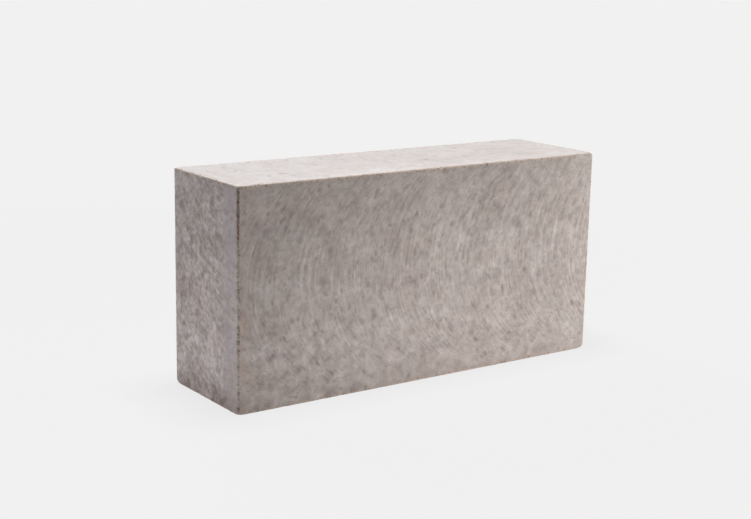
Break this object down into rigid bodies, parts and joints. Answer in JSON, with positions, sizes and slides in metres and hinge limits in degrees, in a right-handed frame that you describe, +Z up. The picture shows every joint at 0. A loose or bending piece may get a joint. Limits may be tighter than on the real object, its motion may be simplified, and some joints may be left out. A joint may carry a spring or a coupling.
{
  "type": "refractory firebrick",
  "caption": "Straight refractory brick, a plain rectangular block ground flat on its faces, standing on its long edge, for lining furnaces and kilns.",
  "frame": {"origin": "middle of the face that the brick stands on", "axes": "+Z up, X along the 230 mm length, Y through the 65 mm thickness. The large face that the picture shows faces -Y, and the end that it shows faces -X"},
  "size_m": [0.23, 0.065, 0.114],
  "materials": {
    "fired_ceramic": "matt, ground, warm grey with fine arc-shaped grinding marks"
  },
  "bodies": {
    "root": {"firebrick": "fired_ceramic"}
  },
  "joints": []
}
